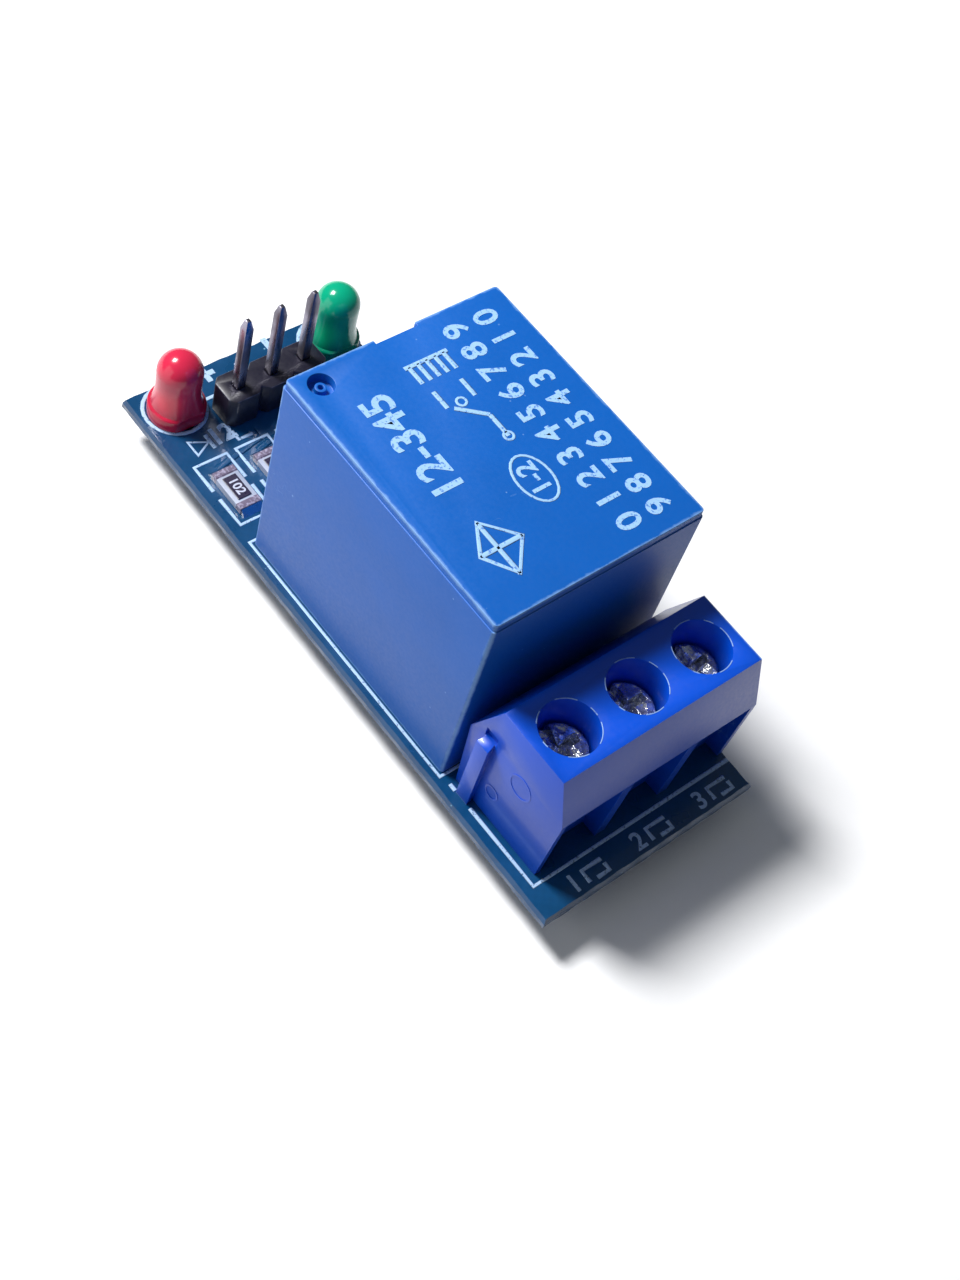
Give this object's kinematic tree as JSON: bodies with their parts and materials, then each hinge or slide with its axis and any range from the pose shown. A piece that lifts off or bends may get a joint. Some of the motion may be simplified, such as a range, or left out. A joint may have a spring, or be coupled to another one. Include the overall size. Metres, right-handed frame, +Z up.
{
  "type": "relay_module",
  "caption": "Relay module board with a blue cube relay, blue screw terminal block, pin header and red and green indicator lamps on a teal circuit board",
  "frame": {"origin": "Under the middle of the board's plan, level with the cut tips of the relay, terminal and header leads", "axes": "X along the board from the pin header to the screw terminal, Y across it from the red lamp to the green lamp, Z up out of the component side"},
  "size_m": [0.0436, 0.0168, 0.0184],
  "materials": {
    "teal_board": "satin solder mask over glass board",
    "black_plastic": "satin",
    "dark_plastic": "satin",
    "tinned_pin": "dull tin",
    "tinned_lead": "dull tin",
    "red_epoxy": "diffused tinted epoxy",
    "green_epoxy": "diffused tinted epoxy",
    "lamp_crystal": "satin",
    "resistor_dark": "glazed film",
    "amber_glass": "gloss",
    "relay_blue": "semi gloss",
    "terminal_blue": "semi gloss",
    "coil_lacquer": "lacquered copper wire",
    "soft_iron": "nickel plate",
    "spring_bronze": "satin",
    "silver_contact": "satin",
    "relay_brass": "satin",
    "plated_brass": "nickel plate",
    "plated_steel": "bright zinc",
    "solder": "bright solder"
  },
  "bodies": {
    "board": {"circuit_board": "teal_board", "header_body": "black_plastic", "header_pin_1": "tinned_pin", "header_pin_2": "tinned_pin", "header_pin_3": "tinned_pin", "red_lens": "red_epoxy", "red_anode": "tinned_lead", "red_cathode": "tinned_lead", "red_chip": "lamp_crystal", "green_lens": "green_epoxy", "green_anode": "tinned_lead", "green_cathode": "tinned_lead", "green_chip": "lamp_crystal", "resistor_1": "resistor_dark", "resistor_2": "resistor_dark", "resistor_3": "resistor_dark", "transistor_body": "black_plastic", "transistor_leads": "tinned_lead", "diode_glass": "amber_glass", "diode_caps": "tinned_lead", "relay_cover": "relay_blue", "relay_base": "dark_plastic", "relay_bobbin": "black_plastic", "relay_winding": "coil_lacquer", "relay_core": "soft_iron", "relay_yoke": "soft_iron", "open_contact": "silver_contact", "closed_contact": "silver_contact", "open_terminal": "relay_brass", "closed_terminal": "relay_brass", "common_terminal": "relay_brass", "coil_pin_1": "tinned_lead", "coil_pin_2": "tinned_lead", "terminal_housing": "terminal_blue", "clamp_cage_1": "plated_brass", "clamp_cage_2": "plated_brass", "clamp_cage_3": "plated_brass", "header_solder": "solder", "lamp_solder": "solder", "relay_solder": "solder", "terminal_solder": "solder", "chip_solder": "solder"},
    "armature": {"relay_armature": "soft_iron", "relay_spring": "spring_bronze", "moving_contact": "silver_contact"},
    "guard_1": {"wire_guard_1": "plated_steel"},
    "screw_1": {"clamp_screw_1": "plated_steel"},
    "guard_2": {"wire_guard_2": "plated_steel"},
    "screw_2": {"clamp_screw_2": "plated_steel"},
    "guard_3": {"wire_guard_3": "plated_steel"},
    "screw_3": {"clamp_screw_3": "plated_steel"}
  },
  "joints": [
    {"name": "armature_rock", "type": "hinge", "parent": "board", "child": "armature", "pos_m": [-0.0063, 0.0002, 0.0147], "axis": [0, 1, 0], "range_deg": [0, 2.05], "stiffness_Nm_per_rad": 0.004, "springref_deg": -11.46, "deforming": ["relay_spring"]},
    {"name": "guard_slide_1", "type": "slide", "parent": "board", "child": "guard_1", "axis": [0, 0, 1], "range_m": [-0.00049, 0.00171]},
    {"name": "screw_turn_1", "type": "hinge", "parent": "guard_1", "child": "screw_1", "pos_m": [0.0157, -0.00448, 0.0104], "axis": [0, 0, 1], "range_deg": [-354, 1232]},
    {"name": "guard_slide_2", "type": "slide", "parent": "board", "child": "guard_2", "axis": [0, 0, 1], "range_m": [-0.00049, 0.00171]},
    {"name": "screw_turn_2", "type": "hinge", "parent": "guard_2", "child": "screw_2", "pos_m": [0.0157, 0.0006, 0.0104], "axis": [0, 0, 1], "range_deg": [-354, 1232]},
    {"name": "guard_slide_3", "type": "slide", "parent": "board", "child": "guard_3", "axis": [0, 0, 1], "range_m": [-0.00049, 0.00171]},
    {"name": "screw_turn_3", "type": "hinge", "parent": "guard_3", "child": "screw_3", "pos_m": [0.0157, 0.00568, 0.0104], "axis": [0, 0, 1], "range_deg": [-354, 1232]}
  ],
  "couplings": [
    {"joint": "screw_turn_1", "follows": "guard_slide_1", "rad_per_m": 12566},
    {"joint": "screw_turn_2", "follows": "guard_slide_2", "rad_per_m": 12566},
    {"joint": "screw_turn_3", "follows": "guard_slide_3", "rad_per_m": 12566}
  ]
}
